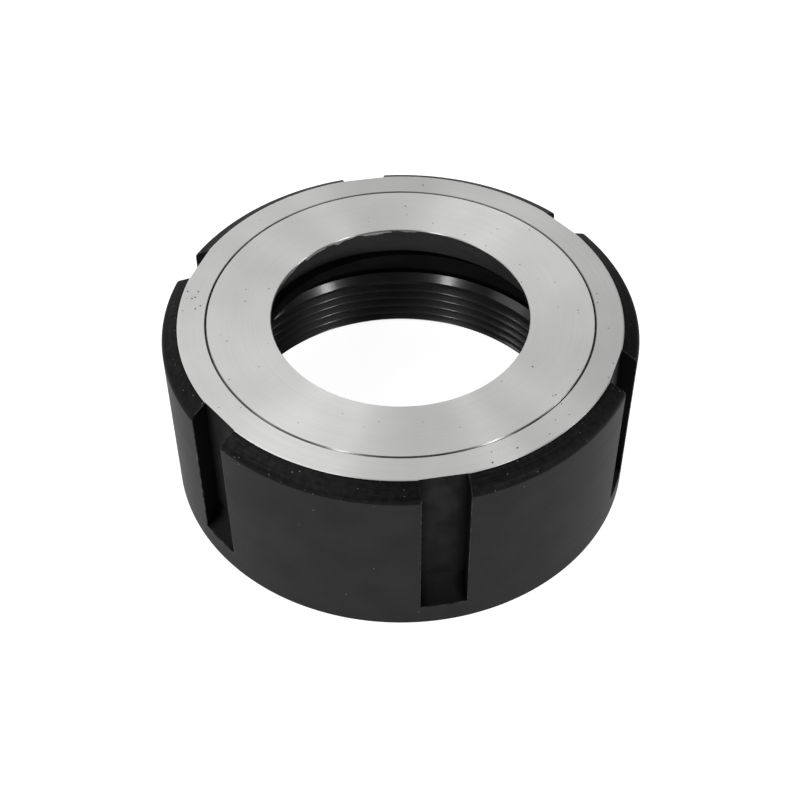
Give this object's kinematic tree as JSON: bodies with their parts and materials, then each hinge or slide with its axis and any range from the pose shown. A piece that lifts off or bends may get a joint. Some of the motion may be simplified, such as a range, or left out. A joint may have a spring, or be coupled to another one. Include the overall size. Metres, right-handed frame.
{
  "type": "collet nut",
  "caption": "Round slotted clamping nut with a ball-borne inner ring that seats, closes and pulls out a spring collet.",
  "frame": {"origin": "centre of the threaded end's face, which the nut stands on", "axes": "+Z along the nut's axis, from the threaded end to the ground front face; the picture looks along +Y from 46 degrees above"},
  "size_m": [0.063, 0.063, 0.0255],
  "materials": {
    "nut_body": "black oxide on turned alloy steel, front face ground bright",
    "pressure_ring": "hardened steel, front face ground bright, seat blackened",
    "filler_plug": "turned steel pin",
    "balls": "polished bearing steel"
  },
  "bodies": {
    "nut": {"nut_body": "nut_body", "filler_plug": "filler_plug"},
    "ring": {"pressure_ring": "pressure_ring"},
    "ball_row": {"ball_01": "balls", "ball_02": "balls", "ball_03": "balls", "ball_04": "balls", "ball_05": "balls", "ball_06": "balls", "ball_07": "balls", "ball_08": "balls", "ball_09": "balls", "ball_10": "balls", "ball_11": "balls", "ball_12": "balls", "ball_13": "balls", "ball_14": "balls", "ball_15": "balls", "ball_16": "balls", "ball_17": "balls", "ball_18": "balls", "ball_19": "balls", "ball_20": "balls", "ball_21": "balls", "ball_22": "balls", "ball_23": "balls", "ball_24": "balls", "ball_25": "balls", "ball_26": "balls", "ball_27": "balls", "ball_28": "balls", "ball_29": "balls", "ball_30": "balls", "ball_31": "balls", "ball_32": "balls", "ball_33": "balls", "ball_34": "balls", "ball_35": "balls"}
  },
  "joints": [
    {"name": "ring_turn", "type": "hinge", "parent": "nut", "child": "ring", "pos_m": [0, 0, 0.02], "axis": [0, 0, 1], "continuous": true},
    {"name": "ball_row_turn", "type": "hinge", "parent": "nut", "child": "ball_row", "pos_m": [0, 0, 0.02], "axis": [0, 0, 1], "continuous": true}
  ],
  "couplings": [
    {"joint": "ball_row_turn", "follows": "ring_turn", "ratio": 0.469}
  ]
}
